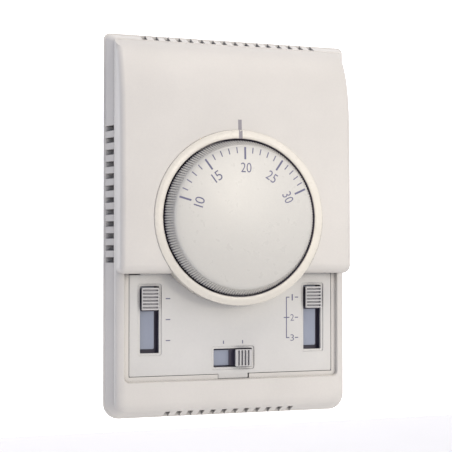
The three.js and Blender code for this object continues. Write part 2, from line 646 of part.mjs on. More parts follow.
// Radius grows with the setpoint, so the spiral falls as the cam's own angle grows.
function camRadius(camDegrees) {
  const margin = 8;
  const first = 90 - DIAL_MAX_DEG - margin;
  const last = 90 - DIAL_MIN_DEG + margin;
  const onSpiral = (degrees) => CAM_REST_RADIUS + CAM_RISE_PER_RADIAN * toRadians(90 - degrees);
  if (camDegrees <= last) return onSpiral(camDegrees);
  const share = (camDegrees - last) / (360 + first - last);
  return onSpiral(last) + (onSpiral(first) - onSpiral(last)) * share;
}

function dialCam() {
  const first = 90 - DIAL_MAX_DEG - 8;
  const steps = 60;
  const points = Array.from({ length: steps }, (_, i) => {
    const degrees = first + (360 * i) / steps;
    return aroundDial(camRadius(degrees), degrees);
  });
  const blank = plate(polygon(points), CAM_BACK, CAM_FRONT);
  return cut(blank, flattedBar(SHAFT_RADIUS + 0.2, SHAFT_FLAT + 0.2, CAM_BACK - 1, CAM_FRONT + 1));
}

part('dial_knob', dialKnob(), CREAM, 0.5);
part('dial_shaft', dialShaft(), NATURAL, 0.45);
part('dial_cam', dialCam(), NATURAL, 0.45);
part('shaft_retaining_ring', turned([
  [1.8, 2.1], [3.6, 2.1], [3.6, 2.6], [1.8, 2.6], [1.8, 2.1],
], 0, DIAL_Y, 24), STEEL, 0.35, 0.9);
part('shaft_bush', turned([
  [2.5, 2.9], [5.2, 2.9], [5.2, 3.7], [3.6, 3.7], [3.6, 5.3], [2.5, 5.3], [2.5, 2.9],
], 0, DIAL_Y, 24), BRASS, 0.35, 0.9);

// -------------------------------------------------------------------- levers

function pivotHole([x, y]) {
  return bar(x, y, 1.3, LEVER_BACK - 1, LEVER_FRONT + 1, 12);
}

function camLever() {
  const [px, py] = CAM_LEVER_PIVOT;
  const noseTip = DIAL_Y + CAM_REST_RADIUS + CAM_CLEARANCE;
  const arm = plate(polygon([
    [px, py - 1.6], [-3, 11.3], [-1, noseTip], [1, noseTip], [3, 11.3], [12, 12.3], [12, 14.3], [px, py + 2.4],
  ]), LEVER_BACK, LEVER_FRONT);
  return cut(join(arm, bar(px, py, 3, LEVER_BACK, LEVER_FRONT)), pivotHole(CAM_LEVER_PIVOT));
}

function sensingLever() {
  const [px, py] = SENSING_LEVER_PIVOT;
  const arm = box(px, 21.5, 28.2, 31, LEVER_BACK, LEVER_FRONT);
  const tab = box(BELLOWS_X - 1.6, BELLOWS_X + 1.6, 29.4, 31, LEVER_FRONT - 0.5, 10.6);
  const shape = join(arm, bar(px, py, 2.9, LEVER_BACK, LEVER_FRONT), tab);
  return cut(shape, pivotHole(SENSING_LEVER_PIVOT));
}

part('cam_lever', camLever(), BRASS, 0.35, 0.9);
part('sensing_lever', sensingLever(), BRASS, 0.35, 0.9);
for (const [name, [x, y]] of [['cam_lever_pin', CAM_LEVER_PIVOT], ['sensing_lever_pin', SENSING_LEVER_PIVOT]]) {
  part(name, turned([[0, 4.1], [1, 4.1], [1, 7.4], [2, 7.4], [2, 8.1], [0, 8.1]], x, y, 16), STEEL, 0.35, 0.9);
}

// ----------------------------------------------------- sensing and switching

function sensingBellows() {
  const [low, high, folds] = [33, 41.8, 6];
  const profile = [[0, 31.3], [1, 31.3], [1, low], [2.9, low]];
  const pitch = (high - low) / folds;
  for (let i = 0; i < folds; i++) {
    profile.push([3.7, low + pitch * (i + 0.5)], [2.9, low + pitch * (i + 1)]);
  }
  profile.push([0, high]);
  return turnedUpright(profile, BELLOWS_X, BELLOWS_Z, 16);
}

class Helix extends THREE.Curve {
  constructor(radius, bottom, top, turns) {
    super();
    Object.assign(this, { radius, bottom, top, turns });
  }

  getPoint(t, target = new THREE.Vector3()) {
    const angle = 2 * Math.PI * this.turns * t;
    const height = THREE.MathUtils.lerp(this.bottom, this.top, t);
    const [x, z] = [this.radius * Math.cos(angle), this.radius * Math.sin(angle)];
    return target.set(SPRING_X + x, height, SPRING_Z + z);
  }
}

function rangeSpring() {
  const turns = 5;
  const wire = new THREE.Shape();
  wire.absarc(0, 0, 0.25, 0, 2 * Math.PI);
  const path = new Helix(1.25, 14.9, 27.6, turns);
  return new THREE.ExtrudeGeometry(wire, { steps: turns * 9, curveSegments: 3, extrudePath: path });
}

function calibrationScrew() {
  const profile = [[0, 42.1], [1.4, 42.1], [1.4, 46.3], [2.3, 46.3], [2.3, 48.2], [0, 48.2]];
  const slot = box(BELLOWS_X - 3, BELLOWS_X + 3, 47.5, 49, BELLOWS_Z - 0.35, BELLOWS_Z + 0.35);
  return cut(turnedUpright(profile, BELLOWS_X, BELLOWS_Z, 16), slot);
}

part('sensing_bellows', sensingBellows(), COPPER, 0.35, 0.9);
part('range_spring', rangeSpring(), STEEL, 0.35, 0.9);
part('calibration_screw', calibrationScrew(), BRASS, 0.35, 0.9);

const snapSwitch = cut(
  box(14, 25, 13, 24, FRAME_FRONT + GAP, 8.2),
  box(PLUNGER_X - 1.1, PLUNGER_X + 1.1, 20.4, 25, 5.8, 7.8),
);
part('snap_switch_body', snapSwitch, BLACK, 0.5);
part('snap_switch_plunger', box(PLUNGER_X - 0.8, PLUNGER_X + 0.8, 21.3, 27.9, 6.1, 7.5), NATURAL, 0.4);
part('heater_resistor', turnedUpright([
  [0, 33.5], [0.35, 33.5], [0.35, 35], [1.2, 35.4], [1.2, 41.4], [0.35, 41.8], [0.35, 43.3], [0, 43.3],
], 25.5, 6.6, 16), 0xb9a184, 0.6);

// Stand the front view up: +Z up, the front facing -Y.
model.rotation.x = Math.PI / 2;
model.updateMatrixWorld(true);

const thermostat = new THREE.Group();
thermostat.name = 'wall_thermostat';
thermostat.add(model);

export default thermostat;
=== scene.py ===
import json
import math
import bmesh
import bpy
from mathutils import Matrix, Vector

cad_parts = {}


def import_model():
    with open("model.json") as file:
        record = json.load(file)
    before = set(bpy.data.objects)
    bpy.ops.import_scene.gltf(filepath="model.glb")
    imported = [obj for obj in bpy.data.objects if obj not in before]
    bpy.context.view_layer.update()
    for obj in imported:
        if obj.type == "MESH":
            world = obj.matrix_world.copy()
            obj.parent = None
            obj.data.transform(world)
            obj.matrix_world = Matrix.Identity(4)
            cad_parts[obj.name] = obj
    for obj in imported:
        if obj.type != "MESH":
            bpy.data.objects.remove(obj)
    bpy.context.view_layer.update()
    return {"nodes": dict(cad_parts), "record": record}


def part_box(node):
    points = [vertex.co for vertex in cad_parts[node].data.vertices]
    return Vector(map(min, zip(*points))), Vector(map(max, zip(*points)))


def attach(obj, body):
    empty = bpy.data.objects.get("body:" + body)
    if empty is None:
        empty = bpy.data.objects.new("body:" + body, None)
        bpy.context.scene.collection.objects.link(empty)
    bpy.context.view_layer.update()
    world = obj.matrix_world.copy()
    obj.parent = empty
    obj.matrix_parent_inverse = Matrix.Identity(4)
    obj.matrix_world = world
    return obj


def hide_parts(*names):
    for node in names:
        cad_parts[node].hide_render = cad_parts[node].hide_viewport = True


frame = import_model()
scene = bpy.context.scene

# Wall thermostat. Lengths are millimetres in the front view (x right, y up, z out
# of the wall) and become metres in the frame through world().
MM = 0.001


def world(x, y, z):
    return Vector((x * MM, -z * MM, y * MM))


class Box:
    """A CAD node's box in the front view."""

    def __init__(self, node):
        low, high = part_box(node)
        self.x0, self.x1 = low.x / MM, high.x / MM
        self.y0, self.y1 = low.z / MM, high.z / MM
        self.z0, self.z1 = -high.y / MM, -low.y / MM
        self.x = (self.x0 + self.x1) / 2
        self.y = (self.y0 + self.y1) / 2


BASE = Box("rear_base")
COVER = Box("front_cover")
PANEL = Box("control_panel")
BEZEL = Box("dial_bezel")
KNOB = Box("dial_knob")
DIAL_Y = BEZEL.y
HALF_WIDTH = BASE.x1
HALF_HEIGHT = BASE.y1

# -------------------------------------------------------------- camera, lights

camera_data = bpy.data.cameras.new("camera")
camera_data.sensor_width = 36
camera_data.lens = 75.2
camera_data.shift_y = 0.0425
camera = bpy.data.objects.new("camera", camera_data)
camera.location = (-0.0916, -0.3173, -0.0110)
camera.rotation_mode = "QUATERNION"
camera.rotation_quaternion = Vector((0.27705, 0.96075, 0.01398)).to_track_quat("-Z", "Y")
scene.collection.objects.link(camera)
scene.camera = camera
scene.view_settings.view_transform = "Standard"


def area_light(name, place, target, size, power, colour):
    data = bpy.data.lights.new(name, "AREA")
    data.shape = "DISK"
    data.size = size
    data.energy = power
    data.color = colour
    lamp = bpy.data.objects.new(name, data)
    lamp.location = place
    direction = Vector(target) - Vector(place)
    lamp.rotation_mode = "QUATERNION"
    lamp.rotation_quaternion = direction.to_track_quat("-Z", "Y")
    scene.collection.objects.link(lamp)


area_light("key", (0.60, -1.05, 0.30), (0, 0, 0.01), 0.80, 5.3, (1.0, 0.945, 0.87))
area_light("top", (0.20, -0.50, 1.10), (0, 0, 0.03), 0.80, 6.6, (1.0, 0.91, 0.78))
area_light("gloss", (0.25, -0.97, 0.13), (0, 0, 0), 0.15, 1.2, (1.0, 0.92, 0.79))
area_light("fill", (-0.85, -0.75, 0.05), (0, 0, 0), 0.9, 0.7, (0.84, 0.88, 1.0))

sky = bpy.data.worlds.new("studio")
sky.use_nodes = True
sky.node_tree.nodes["Background"].inputs["Color"].default_value = (0.74, 0.78, 1.0, 1)
sky.node_tree.nodes["Background"].inputs["Strength"].default_value = 0.55
scene.world = sky

# ------------------------------------------------------------------- materials

GRAIN_DEPTH = 0.00003


def shader_nodes(name):
    material = bpy.data.materials.new(name)
    material.use_nodes = True
    tree = material.node_tree
    return material, tree, tree.nodes["Principled BSDF"]


def noise(tree, scale, detail=2.0, stretch=(1, 1, 1)):
    """Noise in the object's own coordinates; scale is in features per metre."""
    place = tree.nodes.new("ShaderNodeTexCoord")
    mapping = tree.nodes.new("ShaderNodeMapping")
    mapping.inputs["Scale"].default_value = stretch
    texture = tree.nodes.new("ShaderNodeTexNoise")
    texture.inputs["Scale"].default_value = scale
    texture.inputs["Detail"].default_value = detail
    tree.links.new(place.outputs["Object"], mapping.inputs["Vector"])
    tree.links.new(mapping.outputs["Vector"], texture.inputs["Vector"])
    return texture.outputs["Fac"]


def blend_colours(tree, factor, low, high, start=0.35, end=0.65):
    ramp = tree.nodes.new("ShaderNodeValToRGB")
    ramp.color_ramp.elements[0].position = start
    ramp.color_ramp.elements[0].color = (*low, 1)
    ramp.color_ramp.elements[1].position = end
    ramp.color_ramp.elements[1].color = (*high, 1)
    tree.links.new(factor, ramp.inputs["Fac"])
    return ramp.outputs["Color"]


def spread(tree, factor, low, high):
    span = tree.nodes.new("ShaderNodeMapRange")
    span.inputs["From Min"].default_value = 0.3
    span.inputs["From Max"].default_value = 0.7
    span.inputs["To Min"].default_value = low
    span.inputs["To Max"].default_value = high
    tree.links.new(factor, span.inputs["Value"])
    return span.outputs["Result"]


def add_bump(tree, shader, height, strength, distance):
    bump = tree.nodes.new("ShaderNodeBump")
    bump.inputs["Strength"].default_value = strength
    bump.inputs["Distance"].default_value = distance
    tree.links.new(height, bump.inputs["Height"])
    tree.links.new(bump.outputs["Normal"], shader.inputs["Normal"])


def multiply(tree, one, two):
    mix = tree.nodes.new("ShaderNodeMix")
    mix.data_type = "RGBA"
    mix.blend_type = "MULTIPLY"
    mix.inputs["Factor"].default_value = 1
    tree.links.new(one, mix.inputs["A"])
    tree.links.new(two, mix.inputs["B"])
    return mix.outputs["Result"]


def crevices(tree, dark, reach):
    """Painted shade: plastic's colour gets darker and bluer where a slot, groove or gap closes it in, taken
    from an ambient-occlusion node.
    """
    closeness = tree.nodes.new("ShaderNodeAmbientOcclusion")
    closeness.samples = 6
    closeness.inputs["Distance"].default_value = reach
    return blend_colours(tree, closeness.outputs["AO"], dark, (1, 1, 1), 0.20, 0.48)


def plastic(
    name, colour, rough, grain=5200, bump=0.22, drift=0.035, dark=None, reach=0.004, uneven=0.05,
):
    """Moulded plastic: a slow drift of colour, a finer mottle, uneven gloss, a fine eroded grain and, when
    dark is given, painted shade in its slots, grooves and gaps.
    """
    material, tree, shader = shader_nodes(name)
    low = tuple(c * (1 - drift) for c in colour)
    high = tuple(min(1, c * (1 + drift * 0.6)) for c in colour)
    slow = blend_colours(tree, noise(tree, 38, 3), low, high)
    fine = blend_colours(tree, noise(tree, 1400, 2), (0.982, 0.982, 0.985), (1, 1, 1))
    tint = multiply(tree, slow, fine)
    # Painted shade: the dark colour darkens the base colour in crevices, standing in for the shade that
    # falls there.
    if dark:
        tint = multiply(tree, tint, crevices(tree, dark, reach))
    tree.links.new(tint, shader.inputs["Base Color"])
    gloss = spread(tree, noise(tree, 420, 3), rough - uneven, rough + uneven)
    tree.links.new(gloss, shader.inputs["Roughness"])
    add_bump(tree, shader, noise(tree, grain, 3), bump, GRAIN_DEPTH)
    return material


def metal(name, colour, rough, stretch=(1, 1, 14)):
    """Drawn or plated metal: fine lines along one way, with patches of duller finish."""
    material, tree, shader = shader_nodes(name)
    low = tuple(c * 0.86 for c in colour)
    tint = blend_colours(tree, noise(tree, 260, 4), low, colour)
    tree.links.new(tint, shader.inputs["Base Color"])
    gloss = spread(tree, noise(tree, 900, 3, stretch), rough - 0.08, rough + 0.12)
    tree.links.new(gloss, shader.inputs["Roughness"])
    shader.inputs["Metallic"].default_value = 1
    add_bump(tree, shader, noise(tree, 1500, 2, stretch), 0.15, GRAIN_DEPTH)
    return material


def circuit_green(name):
    """Solder resist over a lattice of tracks."""
    material, tree, shader = shader_nodes(name)
    place = tree.nodes.new("ShaderNodeTexCoord")
    tracks = tree.nodes.new("ShaderNodeTexBrick")
    tracks.inputs["Scale"].default_value = 230
    tracks.inputs["Color1"].default_value = (0.020, 0.115, 0.045, 1)
    tracks.inputs["Color2"].default_value = (0.026, 0.140, 0.055, 1)
    tracks.inputs["Mortar"].default_value = (0.055, 0.240, 0.095, 1)
    tracks.inputs["Mortar Size"].default_value = 0.06
    tree.links.new(place.outputs["Object"], tracks.inputs["Vector"])
    tree.links.new(tracks.outputs["Color"], shader.inputs["Base Color"])
    tree.links.new(spread(tree, noise(tree, 500), 0.22, 0.38), shader.inputs["Roughness"])
    add_bump(tree, shader, tracks.outputs["Fac"], 0.4, 0.00004)
    return material


# The dark colours given to the looks below, CREAM_SHADE among them, are painted shade for their crevices.
CREAM_SHADE = (0.22, 0.20, 0.34)
LOOKS = {
    "ivory_moulding": plastic(
        "ivory_moulding", (0.610, 0.590, 0.545), 0.46, dark=(0.028, 0.025, 0.055), reach=0.006,
    ),
    "cream_moulding": plastic(
        "cream_moulding", (0.680, 0.650, 0.570), 0.30, grain=6500, bump=0.10, dark=CREAM_SHADE,
    ),
    "knob_moulding": plastic(
        "knob_moulding", (0.530, 0.522, 0.480), 0.28, grain=6500, bump=0.05, drift=0.015,
        dark=CREAM_SHADE, uneven=0.008,
    ),
    "cap_moulding": plastic(
        "cap_moulding", (0.500, 0.495, 0.480), 0.42, dark=(0.12, 0.11, 0.18), reach=0.003,
    ),
    "panel_moulding": plastic(
        "panel_moulding", (0.595, 0.588, 0.555), 0.50, dark=(0.10, 0.09, 0.16), reach=0.006,
    ),
    "switch_grey": plastic("switch_grey", (0.270, 0.300, 0.370), 0.42, drift=0.08),
    "black_plastic": plastic("black_plastic", (0.052, 0.045, 0.072), 0.48, drift=0.15),
    "natural_plastic": plastic("natural_plastic", (0.690, 0.640, 0.520), 0.40, drift=0.05),
    "board_green": circuit_green("board_green"),
    "steel": metal("steel", (0.60, 0.61, 0.62), 0.32),
    "brass": metal("brass", (0.66, 0.48, 0.20), 0.26),
    "copper_alloy": metal("copper_alloy", (0.62, 0.36, 0.20), 0.30),
    "resistor_ceramic": plastic("resistor_ceramic", (0.43, 0.32, 0.20), 0.62, drift=0.12),
}
PRINT = plastic("legend_ink", (0.135, 0.135, 0.215), 0.55, drift=0.14, bump=0.08)
POINTER_INK = plastic("pointer_ink", (0.285, 0.270, 0.290), 0.50, drift=0.12, bump=0.08)

for row in frame["record"]["subparts"]:
    for holder in frame["nodes"][row["node"]].material_slots:
        holder.material = LOOKS[row["material_slot"]]

# ---------------------------------------------------------------- mesh helpers


def build(name, points, faces):
    """A closed mesh from front-view points, with its faces turned outwards."""
    mesh = bpy.data.meshes.new(name)
    mesh.from_pydata([world(*p) for p in points], [], faces)
    work = bmesh.new()
    work.from_mesh(mesh)
    bmesh.ops.remove_doubles(work, verts=work.verts, dist=1e-7)
    bmesh.ops.recalc_face_normals(work, faces=work.faces)
    work.to_mesh(mesh)
    work.free()
    made = bpy.data.objects.new(name, mesh)
    scene.collection.objects.link(made)
    return made


def apply_modifiers(made):
    bpy.context.view_layer.update()
    graph = bpy.context.evaluated_depsgraph_get()
    mesh = bpy.data.meshes.new_from_object(made.evaluated_get(graph))
    made.modifiers.clear()
    made.data = mesh
    return made


def boolean(made, tool, operation="DIFFERENCE"):
    step = made.modifiers.new("boolean", "BOOLEAN")
    step.operation = operation
    step.solver = "EXACT"
    step.use_self = True
    step.object = tool
    apply_modifiers(made)
    bpy.data.objects.remove(tool)
    return made


def soften(made, width, segments=3, angle=35):
    """Rounds the edges sharper than angle, by width in millimetres."""
    step = made.modifiers.new("bevel", "BEVEL")
    step.width = width * MM
    step.segments = segments
    step.limit_method = "ANGLE"
    step.angle_limit = math.radians(angle)
    step.use_clamp_overlap = True
    return apply_modifiers(made)


def dress(made, look, body="housing", stands_for=(), smooth=32):
    """Gives a finished piece its material, its shading and the body that it rides on."""
    made.data.materials.clear()
    made.data.materials.append(LOOKS[look] if isinstance(look, str) else look)
    for face in made.data.polygons:
        face.use_smooth = True
    made.data.set_sharp_from_angle(angle=math.radians(smooth))
    if stands_for:
        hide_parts(*stands_for)
    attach(made, body)
    return made


def loft(name, layers):
    """A closed body through outlines [(points, z), ...] that have the same number of points."""
    count = len(layers[0][0])
    points = [(x, y, z) for outline, z in layers for x, y in outline]
    faces = [tuple(reversed(range(count)))]
    for layer in range(len(layers) - 1):
        for i in range(count):
            a, b = layer * count + i, layer * count + (i + 1) % count
            faces.append((a, b, b + count, a + count))
    faces.append(tuple(range((len(layers) - 1) * count, len(layers) * count)))
    return build(name, points, faces)


def rounded_outline(x0, x1, y0, y1, bottom, top=None, steps=9):
    """Counter-clockwise outline of a rectangle with rounded corners."""
    top = bottom if top is None else top
    corners = [
        (x1 - top, y1 - top, top, 0),
        (x0 + top, y1 - top, top, 90),
        (x0 + bottom, y0 + bottom, bottom, 180),
        (x1 - bottom, y0 + bottom, bottom, 270),
    ]
    outline = []
    for x, y, radius, start in corners:
        for i in range(steps + 1):
            angle = math.radians(start + 90 * i / steps)
            outline.append((x + radius * math.cos(angle), y + radius * math.sin(angle)))
    return outline


def grown(sides, by, corner, steps=9):
    """Outline of a rectangle (x0, x1, y0, y1) with each side moved out by so much."""
    x0, x1, y0, y1 = sides
    return rounded_outline(x0 - by, x1 + by, y0 - by, y1 + by, corner, steps=steps)


def block(name, x0, x1, y0, y1, z0, z1, corner=0.01):
    outline = rounded_outline(x0, x1, y0, y1, corner, steps=2 if corner < 0.05 else 6)
    return loft(name, [(outline, z0), (outline, z1)])


def blocks(name, boxes):
    """Separate square-cornered boxes in one mesh, as a cutting tool."""
    points, faces = [], []
    for x0, x1, y0, y1, z0, z1 in boxes:
        first = len(points)
        points += [(x, y, z) for z in (z0, z1) for x, y in ((x0, y0), (x1, y0), (x1, y1), (x0, y1))]
        sides = [(3, 2, 1, 0), (4, 5, 6, 7), (0, 1, 5, 4), (1, 2, 6, 5), (2, 3, 7, 6), (3, 0, 4, 7)]
        faces += [tuple(first + i for i in side) for side in sides]
    return build(name, points, faces)


def circle(x, y, radius, steps):
    turns = [2 * math.pi * i / steps for i in range(steps)]
    return [(x + radius * math.cos(a), y + radius * math.sin(a)) for a in turns]


def pegs(name, places, z0, z1, steps=32):
    """Round bars along z at [(x, y, radius), ...], in one mesh."""
    points, faces = [], []
    for x, y, radius in places:
        first = len(points)
        ring = circle(x, y, radius, steps)
        points += [(px, py, z) for z in (z0, z1) for px, py in ring]
        faces.append(tuple(first + i for i in reversed(range(steps))))
        faces.append(tuple(first + steps + i for i in range(steps)))
        for i in range(steps):
            j = (i + 1) % steps
            faces.append((first + i, first + j, first + steps + j, first + steps + i))
    return build(name, points, faces)


def revolve(name, profile, steps, reach=None):
    """Turns a (radius, z) profile about the dial's axis. A profile that starts and ends on the axis
    closes there; any other is a closed loop. reach(index, step) is taken off a point's radius."""
    on_axis = profile[0][0] == 0
    points, rings = [], []
    for index, (radius, z) in enumerate(profile):
        if radius == 0:
            rings.append([len(points)] * steps)
            points.append((0, DIAL_Y, z))
            continue
        rings.append(list(range(len(points), len(points) + steps)))
        for i in range(steps):
            angle = 2 * math.pi * i / steps
            r = radius if reach is None else radius - reach(index, i)
            points.append((r * math.cos(angle), DIAL_Y + r * math.sin(angle), z))
    pairs = list(zip(rings, rings[1:])) + ([] if on_axis else [(rings[-1], rings[0])])
    faces = []
    for one, two in pairs:
        for i in range(steps):
            j = (i + 1) % steps
            face = list(dict.fromkeys((one[i], one[j], two[j], two[i])))
            if len(face) > 2:
                faces.append(tuple(face))
    return build(name, points, faces)


# ------------------------------------------------------------------- rear base

FLOOR = 1.6
BASE_DRAFT = 2.6
BASE_INSIDE = 3.9
BOSS_BACK = 1.0
FRAME_BOSS_RADIUS = 3.0
FRAME_BOSS_TOP = 3.7
BOARD_BOSS_RADIUS = 2.6
BOARD_BOSS_TOP = 2.5
SCREW_HOLE_RADIUS = 1.4
# The guessed openings in the back, as x0, x1, y0, y1 and corner radius.
WALL_SLOTS = [(-32.2, -27.8, 20, 28, 2.19), (26, 34, 21.8, 26.2, 2.19)]
CABLE_WINDOW = (-19, 7, 37, 51, 1.5)


def body_outline(inset, steps=10):
    bottom = max(5.3 - inset / 2, 0.8)
    top = max(2.0 - inset / 4, 0.6)
    return rounded_outline(
        inset - HALF_WIDTH, HALF_WIDTH - inset, inset - HALF_HEIGHT, HALF_HEIGHT - inset, bottom, top, steps,
    )


def screw_places(prefix, count, radius):
    seats = [Box(f"{prefix}_{i}") for i in range(1, count + 1)]
    return [(seat.x, seat.y, radius) for seat in seats]


base_depth = BASE.z1
base = loft("rear_base_shell", [
    (body_outline(0.45), 0),
    (body_outline(0.14), 0.12),
    (body_outline(0), 0.42),
    (body_outline(0), 1.25),
    (body_outline(0.12), 1.5),
    (body_outline(0.5), FLOOR),
    (body_outline(BASE_DRAFT - 0.12), base_depth - 0.25),
    (body_outline(BASE_DRAFT + 0.12), base_depth),
])
boolean(base, loft("tray", [
    (body_outline(BASE_INSIDE), FLOOR),
    (body_outline(BASE_INSIDE), base_depth + 1),
]))
for prefix, radius, top in (
    ("frame_screw", FRAME_BOSS_RADIUS, FRAME_BOSS_TOP),
    ("board_screw", BOARD_BOSS_RADIUS, BOARD_BOSS_TOP),
):
    boolean(base, pegs("bosses", screw_places(prefix, 4, radius), BOSS_BACK, top), "UNION")

VENT_PITCH = 4.0
VENT_HALF = 0.9
SIDE_VENT_CENTRE = 10.5
SIDE_VENTS = 12
TOP_VENTS = 16
BOTTOM_VENTS = 12
SIDE_VENT_BACK = 1.75
END_VENT_BACK = 1.0
VENT_REACH = 6


def vents():
    boxes = []
    z1 = base_depth + 1
    inner_x, inner_y = HALF_WIDTH - BASE_INSIDE - 1, HALF_HEIGHT - BASE_INSIDE - 1
    for i in range(SIDE_VENTS):
        y = SIDE_VENT_CENTRE + VENT_PITCH * (i - (SIDE_VENTS - 1) / 2)
        for side in (-1, 1):
            x0, x1 = sorted((side * inner_x, side * (inner_x + VENT_REACH)))
            boxes.append((x0, x1, y - VENT_HALF, y + VENT_HALF, SIDE_VENT_BACK, z1))
    for count, y0 in ((TOP_VENTS, inner_y), (BOTTOM_VENTS, -inner_y - VENT_REACH)):
        for i in range(count):
            x = VENT_PITCH * (i - (count - 1) / 2)
            boxes.append((x - VENT_HALF, x + VENT_HALF, y0, y0 + VENT_REACH, END_VENT_BACK, z1))
    return boxes


boolean(base, blocks("vent_tools", vents()))
screw_holes = []
for prefix in ("frame_screw", "board_screw"):
    screw_holes += screw_places(prefix, 4, SCREW_HOLE_RADIUS)
boolean(base, pegs("screw_holes", screw_holes, 0.8, 5, 20))
for x0, x1, y0, y1, corner in WALL_SLOTS + [CABLE_WINDOW]:
    boolean(base, block("opening", x0, x1, y0, y1, -1, FLOOR + 1, corner))
dress(base, "ivory_moulding", stands_for=["rear_base"])

# ----------------------------------------------------------------- front cover

COVER_BACK = base_depth + 0.3
SHOULDER = 9.9
HOOD_HALF = 40.4
HOOD_BOTTOM = -16.0
HOOD_FRONT = 17.0
HOOD_WALL = 1.8
HOOD_CROWN = [(61.9, 6.8), (58.46, 11.3), (49.95, 15.8), (35.93, 16.4)]
HOOD_FACE = [(35.93, 16.4), (25.0, 16.87), (5.0, HOOD_FRONT), (-12.7, HOOD_FRONT)]
HOOD_TAPER = 0.03


def bezier(controls, t):
    weights = ((1 - t) ** 3, 3 * t * (1 - t) ** 2, 3 * t * t * (1 - t), t ** 3)
    return tuple(sum(w * p[k] for w, p in zip(weights, controls)) for k in (0, 1))


def hood_profile(wall):
    """The hood's side view from the crown over the front and round the lower edge, as (y, z)."""
    back = 3.5 if wall else 4.5
    edge = 3.2 - wall * 0.8
    low, front = HOOD_BOTTOM + wall, HOOD_FRONT - wall
    line = [(HOOD_CROWN[0][0] + 0.1 - 0.9 * wall, back)]
    line += [bezier(HOOD_CROWN, i / 16) for i in range(17)]
    line += [bezier(HOOD_FACE, i / 12) for i in range(1, 13)]
    line = line[:1] + [(y - 0.9 * wall * (y > 20), z - wall) for y, z in line[1:]]
    line = [p for p in line if p[0] > low + edge + 0.4]
    for i in range(9):
        angle = math.radians(90 * i / 8)
        line.append((low + edge - edge * math.sin(angle), front - edge + edge * math.cos(angle)))
    line.append((low, back))
    return line


def hood_body(wall):
    """A body whose front follows the profile, with the long side edges rounded off inwards."""
    line = hood_profile(wall)
    half = HOOD_HALF - wall
    rounding = 2.0 if not wall else 0.7
    steps = 7
    rows = []
    for i, (y, z) in enumerate(line):
        before, after = line[max(i - 1, 0)], line[min(i + 1, len(line) - 1)]
        along = Vector((after[0] - before[0], after[1] - before[1])).normalized()
        out = Vector((along.y, -along.x))
        if i == 0:
            out = Vector((1, 0))
        if i == len(line) - 1:
            out = Vector((-1, 0))
        row = []
        for k in range(steps + 1):
            angle = math.pi / 2 * k / steps
            inward = rounding * (1 - math.sin(angle))
            row.append((rounding * (1 - math.cos(angle)) - half, y - out.x * inward, z - out.y * inward))
        rows.append(row + [(-x, yy, zz) for x, yy, zz in reversed(row)])
    width = len(rows[0])
    points = []
    for row in rows:
        for x, y, z in row:
            points.append((x * (1 - HOOD_TAPER * (z - 8) / HOOD_HALF), y, z))
    faces = []
    for v in range(len(rows) - 1):
        for u in range(width - 1):
            a = v * width + u
            faces.append((a, a + 1, a + 1 + width, a + width))
    last = (len(rows) - 1) * width
    faces.append(tuple(v * width for v in range(len(rows))))
    faces.append(tuple(v * width + width - 1 for v in reversed(range(len(rows)))))
    faces.append(tuple(range(width)) + tuple(reversed(range(last, last + width))))
    return build("hood", points, faces)


def shoulder_body():
    inset = 2.7
    layers = [(body_outline(inset + 0.12), COVER_BACK), (body_outline(inset), COVER_BACK + 0.12)]
    for i in range(13):
        angle = math.pi / 2 * i / 12
        drop, out = 2.3 * math.sin(angle), 3.65 * (1 - math.cos(angle))
        layers.append((body_outline(inset + 0.05 + out), SHOULDER - 2.3 + drop))
    return loft("front_cover_shell", layers)


PANEL_HALF = PANEL.x1
PANEL_TOP = PANEL.y1
PANEL_BOTTOM = PANEL.y0 + 1.5
PANEL_BACK = 6.9
PANEL_FRONT = 8.3
SLIT = 0.15
LEDGE = 1.5
TONGUE = 5.2
DIAL_HOLE_GAP = 0.07


def above_crown():
    """What lies in front of the crown's curve at the top, where the shoulder gives way to the hood."""
    crown = [bezier(HOOD_CROWN, i / 16) for i in range(9)]
    line = [(64, 6.7)] + [(y - 0.04, z - 0.05) for y, z in crown] + [(52, 20), (64, 20)]
    count = len(line)
    points = [(x, y, z) for x in (-HALF_WIDTH, HALF_WIDTH) for y, z in line]
    faces = [tuple(range(count)), tuple(count + i for i in reversed(range(count)))]
    faces += [(i, (i + 1) % count, count + (i + 1) % count, count + i) for i in range(count)]
    return build("above_crown", points, faces)


cover = shoulder_body()
boolean(cover, above_crown())
boolean(cover, hood_body(0), "UNION")
boolean(cover, blocks("below", [(-60, 60, -80, 80, 0, COVER_BACK)]))
boolean(cover, loft("room", [(body_outline(4.3), 4), (body_outline(4.3), SHOULDER - 2.5)]))
boolean(cover, hood_body(HOOD_WALL))
boolean(cover, blocks("through", [(
    -PANEL_HALF - SLIT, PANEL_HALF + SLIT, PANEL_BOTTOM - SLIT, PANEL_TOP + 0.4, 4, PANEL_FRONT + 0.3,
)]))
recess_half = PANEL_HALF + SLIT + LEDGE
recess_low = PANEL_BOTTOM - SLIT - LEDGE


def recess_outline(grow):
    """The recess, grown at the sides and the bottom; its top stays at the hood's lower edge."""
    return rounded_outline(
        -recess_half - grow, recess_half + grow, recess_low - grow, HOOD_BOTTOM + 0.02, LEDGE + grow, 0.01,
    )


boolean(cover, loft("recess", [
    (recess_outline(0), PANEL_FRONT),
    (recess_outline(0.1), SHOULDER - 0.3),
    (recess_outline(0.35), SHOULDER + 0.05),
    (recess_outline(0.35), SHOULDER + 2),
]))
boolean(cover, blocks("tongue_notch", [(
    -TONGUE - SLIT, TONGUE + 0.45, PANEL_BOTTOM - SLIT - LEDGE, PANEL_BOTTOM + 1, 4, PANEL_FRONT + 0.3,
)]))
boolean(cover, pegs("dial_hole", [(0, DIAL_Y, BEZEL.x1 + DIAL_HOLE_GAP)], 3, HOOD_FRONT + 2, 192))
dress(cover, "ivory_moulding", stands_for=["front_cover"])

# --------------------------------------------------------------- control panel

